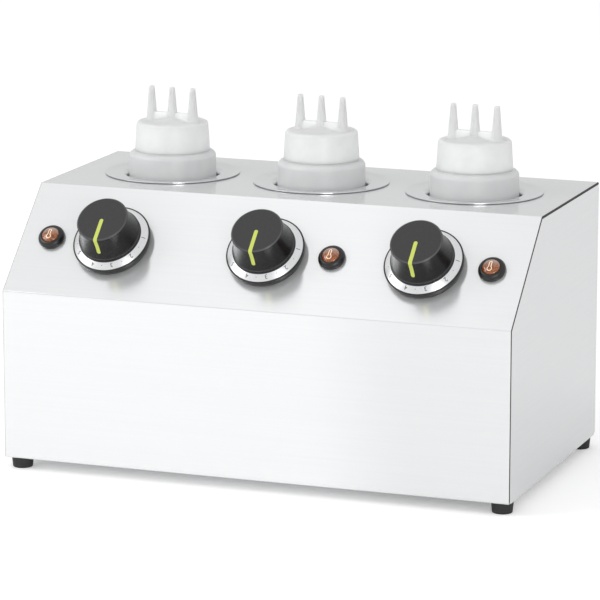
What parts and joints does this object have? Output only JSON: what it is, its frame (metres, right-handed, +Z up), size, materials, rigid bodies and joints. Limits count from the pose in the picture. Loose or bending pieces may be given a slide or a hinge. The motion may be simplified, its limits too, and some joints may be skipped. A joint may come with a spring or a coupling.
{
  "type": "topping warmer",
  "caption": "Counter-top dry-heat warmer with squeeze bottles standing in heated wells, a thermostat knob and a pilot lamp for each well on a sloping panel.",
  "frame": {"origin": "middle of the footprint, cable gland included, on the surface that the feet stand on", "axes": "+X along the casing's width, to the right as the user faces it; +Y from the front face to the back; +Z up"},
  "size_m": [0.45, 0.262, 0.3099],
  "materials": {
    "stainless": "polished sheet",
    "spun_stainless": "spun and polished",
    "zinc_steel": "zinc plated",
    "heater_steel": "dull",
    "foot_rubber": "matt",
    "black_plastic": "moulded, satin",
    "knob_plastic": "moulded, satin",
    "lime_plastic": "moulded insert",
    "dial_aluminium": "satin anodised, printed",
    "amber_lens": "clear moulded",
    "terminal_plastic": "moulded",
    "stud_brass": "turned",
    "bottle_polyethylene": "translucent, blown",
    "cap_polyethylene": "translucent, moulded",
    "seal_foam": "foamed sheet"
  },
  "bodies": {
    "root": {"casing_wrap": "stainless", "side_panel_left": "stainless", "side_panel_right": "stainless", "back_panel": "stainless", "base_plate": "zinc_steel", "feet": "foot_rubber", "foot_screws": "zinc_steel", "back_screws": "zinc_steel", "well_rail": "zinc_steel", "heater_bolts": "zinc_steel", "bulb_clips": "zinc_steel", "thermostat_screws": "zinc_steel", "lamp_nuts": "black_plastic", "terminal_block": "terminal_plastic", "earth_stud": "stud_brass", "cable_gland": "black_plastic", "well_1": "spun_stainless", "well_2": "spun_stainless", "well_3": "spun_stainless", "heater_band_1": "heater_steel", "heater_band_2": "heater_steel", "heater_band_3": "heater_steel", "thermostat_1": "black_plastic", "thermostat_2": "black_plastic", "thermostat_3": "black_plastic", "capillary_1": "heater_steel", "capillary_2": "heater_steel", "capillary_3": "heater_steel", "dial_bezel_1": "black_plastic", "dial_bezel_2": "black_plastic", "dial_bezel_3": "black_plastic", "dial_ring_1": "dial_aluminium", "dial_ring_2": "dial_aluminium", "dial_ring_3": "dial_aluminium", "lamp_bezel_1": "black_plastic", "lamp_bezel_2": "black_plastic", "lamp_bezel_3": "black_plastic", "lamp_lens_1": "amber_lens", "lamp_lens_2": "amber_lens", "lamp_lens_3": "amber_lens"},
    "knob_1": {"knob_1": "knob_plastic", "pointer_1": "lime_plastic", "shaft_1": "zinc_steel"},
    "bottle_1": {"bottle_1": "bottle_polyethylene"},
    "cap_seal_1": {"cap_seal_1": "seal_foam"},
    "cap_1": {"cap_1": "cap_polyethylene"},
    "knob_2": {"knob_2": "knob_plastic", "pointer_2": "lime_plastic", "shaft_2": "zinc_steel"},
    "bottle_2": {"bottle_2": "bottle_polyethylene"},
    "cap_seal_2": {"cap_seal_2": "seal_foam"},
    "cap_2": {"cap_2": "cap_polyethylene"},
    "knob_3": {"knob_3": "knob_plastic", "pointer_3": "lime_plastic", "shaft_3": "zinc_steel"},
    "bottle_3": {"bottle_3": "bottle_polyethylene"},
    "cap_seal_3": {"cap_seal_3": "seal_foam"},
    "cap_3": {"cap_3": "cap_polyethylene"}
  },
  "joints": [
    {"name": "knob_turn_1", "type": "hinge", "parent": "root", "child": "knob_1", "pos_m": [-0.1396, -0.09029, 0.19425], "axis": [0, 0.6894, -0.7243], "range_deg": [-130, 140]},
    {"name": "bottle_lift_1", "type": "slide", "parent": "root", "child": "bottle_1", "axis": [0, 0, 1], "range_m": [0, 0.24]},
    {"name": "cap_rise_1", "type": "slide", "parent": "bottle_1", "child": "cap_seal_1", "axis": [0, 0, 1], "range_m": [0, 0.0282]},
    {"name": "cap_turn_1", "type": "hinge", "parent": "cap_seal_1", "child": "cap_1", "pos_m": [-0.1378, 0.038, 0.2545], "axis": [0, 0, 1], "range_deg": [0, 1440]},
    {"name": "knob_turn_2", "type": "hinge", "parent": "root", "child": "knob_2", "pos_m": [-0.0006, -0.09029, 0.19425], "axis": [0, 0.6894, -0.7243], "range_deg": [-130, 140]},
    {"name": "bottle_lift_2", "type": "slide", "parent": "root", "child": "bottle_2", "axis": [0, 0, 1], "range_m": [0, 0.24]},
    {"name": "cap_rise_2", "type": "slide", "parent": "bottle_2", "child": "cap_seal_2", "axis": [0, 0, 1], "range_m": [0, 0.0282]},
    {"name": "cap_turn_2", "type": "hinge", "parent": "cap_seal_2", "child": "cap_2", "pos_m": [0.0007, 0.038, 0.2545], "axis": [0, 0, 1], "range_deg": [0, 1440]},
    {"name": "knob_turn_3", "type": "hinge", "parent": "root", "child": "knob_3", "pos_m": [0.1384, -0.09029, 0.19425], "axis": [0, 0.6894, -0.7243], "range_deg": [-130, 140]},
    {"name": "bottle_lift_3", "type": "slide", "parent": "root", "child": "bottle_3", "axis": [0, 0, 1], "range_m": [0, 0.24]},
    {"name": "cap_rise_3", "type": "slide", "parent": "bottle_3", "child": "cap_seal_3", "axis": [0, 0, 1], "range_m": [0, 0.0282]},
    {"name": "cap_turn_3", "type": "hinge", "parent": "cap_seal_3", "child": "cap_3", "pos_m": [0.1392, 0.038, 0.2545], "axis": [0, 0, 1], "range_deg": [0, 1440]}
  ],
  "couplings": [
    {"joint": "cap_rise_1", "follows": "cap_turn_1", "m_per_rad": 0.0011141},
    {"joint": "cap_rise_2", "follows": "cap_turn_2", "m_per_rad": 0.0011141},
    {"joint": "cap_rise_3", "follows": "cap_turn_3", "m_per_rad": 0.0011141}
  ]
}
